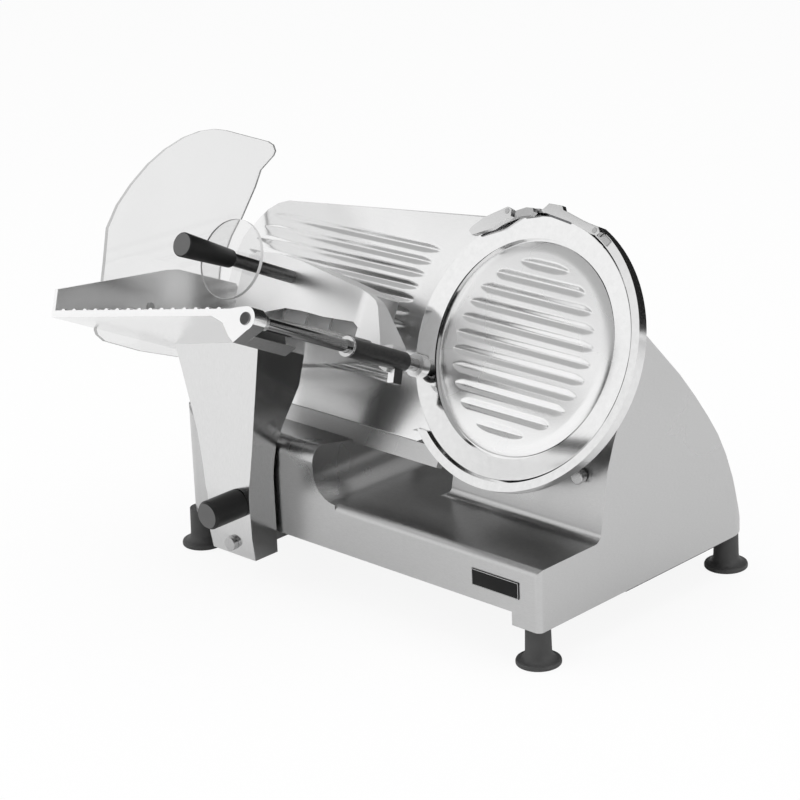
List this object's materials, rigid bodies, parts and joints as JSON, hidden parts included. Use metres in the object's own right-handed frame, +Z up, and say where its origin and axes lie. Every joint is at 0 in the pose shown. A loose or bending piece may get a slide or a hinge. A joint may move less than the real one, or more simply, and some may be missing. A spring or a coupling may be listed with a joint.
{
  "type": "electric food slicer",
  "caption": "Free-standing gravity-feed food slicer: leaning round blade with cover and ring guard, gauge plate, sliding carriage with tray, clear hand guard and swinging pusher.",
  "frame": {"origin": "middle of the overall box in plan, on the table under the feet", "axes": "X along the carriage travel toward the blade end, -Y the carriage side, Z up"},
  "size_m": [0.5412, 0.4908, 0.4134],
  "materials": {
    "cast": "satin cast",
    "polished": "polished",
    "blade_steel": "ground and polished",
    "steel": "turned",
    "rod_steel": "chromed",
    "clear": "clear acrylic",
    "black_plastic": "fine matte",
    "white_plastic": "gloss",
    "rubber": "matte",
    "sheet": "brushed",
    "painted": "satin black",
    "bronze": "sintered",
    "stone": "abrasive",
    "motor": "dark"
  },
  "bodies": {
    "base": {"base_casting": "cast", "bottom_cover": "painted", "bottom_screws": "steel", "rubber_feet": "rubber", "foot_studs": "steel", "badge_plate": "painted", "tower_bolt": "steel", "cable_gland": "black_plastic", "switch_bezel": "black_plastic", "switch_block": "black_plastic", "rail_rod": "rod_steel", "rail_brackets": "cast", "guide_bar": "steel", "ring_guard": "polished", "deflector": "sheet", "bearing_housing": "cast", "bearings": "steel", "drive_belt": "rubber", "motor_body": "motor", "blade_cover": "polished", "cover_tie_rod": "steel", "sharpener_body": "cast", "gauge_frame": "cast", "gauge_rods": "rod_steel"},
    "start_button": {"start_button": "white_plastic"},
    "stop_button": {"stop_button": "black_plastic"},
    "cover_knob": {"cover_knob": "black_plastic"},
    "lever_left": {"sharpener_lever_left": "polished", "grinding_stone": "stone"},
    "lever_right": {"sharpener_lever_right": "polished", "honing_stone": "stone"},
    "carriage": {"slide_block": "cast", "slide_bushings": "bronze", "roller_axle": "steel", "carriage_arm": "polished", "arm_bolt": "steel", "food_tray": "polished", "hand_guard": "clear", "guard_screws": "steel", "pusher_rod": "rod_steel", "rod_collar": "steel"},
    "guide_roller": {"guide_roller": "white_plastic"},
    "lock_knob": {"lock_knob": "black_plastic"},
    "pusher_sleeve": {"pusher_bushings": "rod_steel"},
    "pusher": {"pusher_tube": "steel", "pusher_hood": "polished", "pusher_teeth": "sheet", "handle_bar": "rod_steel", "handle_grip": "black_plastic", "handle_disc": "clear"},
    "blade": {"blade": "blade_steel", "blade_shaft": "steel", "blade_screws": "steel", "blade_pulley": "cast"},
    "motor_rotor": {"motor_shaft": "steel", "motor_pulley": "steel"},
    "gauge": {"gauge_plate": "polished", "gauge_bracket": "cast"},
    "thickness_knob": {"thickness_knob": "black_plastic", "cam_shaft": "steel"}
  },
  "joints": [
    {"name": "carriage_slide", "type": "slide", "parent": "base", "child": "carriage", "axis": [1, 0, 0], "range_m": [0, 0.24]},
    {"name": "roller_spin", "type": "hinge", "parent": "carriage", "child": "guide_roller", "pos_m": [-0.118, 0, 0.0594], "axis": [0, 1, 0], "continuous": true},
    {"name": "lock_turn", "type": "hinge", "parent": "carriage", "child": "lock_knob", "pos_m": [-0.1087, -0.14, 0.0912], "axis": [0, -1, 0], "range_deg": [0, 180]},
    {"name": "pusher_feed", "type": "slide", "parent": "carriage", "child": "pusher_sleeve", "axis": [0, -0.8988, 0.4384], "range_m": [0, 0.112]},
    {"name": "pusher_swing", "type": "hinge", "parent": "pusher_sleeve", "child": "pusher", "pos_m": [0.02842, -0.05409, 0.25231], "axis": [0, 0.8988, -0.4384], "range_deg": [0, 60]},
    {"name": "blade_spin", "type": "hinge", "parent": "base", "child": "blade", "pos_m": [0.1317, 0.0272, 0.2593], "axis": [0, -0.8988, 0.4384], "continuous": true},
    {"name": "motor_spin", "type": "hinge", "parent": "base", "child": "motor_rotor", "pos_m": [0.1317, 0.04847, 0.14323], "axis": [0, -0.8988, 0.4384], "continuous": true},
    {"name": "gauge_slide", "type": "slide", "parent": "base", "child": "gauge", "axis": [0, 0.8988, -0.4384], "range_m": [0, 0.015]},
    {"name": "knob_turn", "type": "hinge", "parent": "base", "child": "thickness_knob", "pos_m": [-0.2435, 0.01187, 0.09099], "axis": [-1, 0, 0], "range_deg": [0, 300]},
    {"name": "start_press", "type": "slide", "parent": "base", "child": "start_button", "axis": [1, 0, 0], "range_m": [0, 0.003], "stiffness_N_per_m": 400},
    {"name": "stop_press", "type": "slide", "parent": "base", "child": "stop_button", "axis": [1, 0, 0], "range_m": [0, 0.003], "stiffness_N_per_m": 400},
    {"name": "cover_knob_turn", "type": "hinge", "parent": "base", "child": "cover_knob", "pos_m": [0.1317, 0.11259, 0.21765], "axis": [0, 0.8988, -0.4384], "range_deg": [0, 180]},
    {"name": "lever_left_swing", "type": "hinge", "parent": "base", "child": "lever_left", "pos_m": [0.0817, 0.07283, 0.37111], "axis": [0, 0.8988, -0.4384], "range_deg": [0, 40]},
    {"name": "lever_right_swing", "type": "hinge", "parent": "base", "child": "lever_right", "pos_m": [0.1877, 0.07283, 0.37111], "axis": [0, 0.8988, -0.4384], "range_deg": [0, 35]}
  ],
  "couplings": [
    {"joint": "roller_spin", "follows": "carriage_slide", "rad_per_m": 111.11},
    {"joint": "motor_spin", "follows": "blade_spin", "ratio": 3.8182},
    {"joint": "knob_turn", "follows": "gauge_slide", "rad_per_m": 349.07}
  ]
}
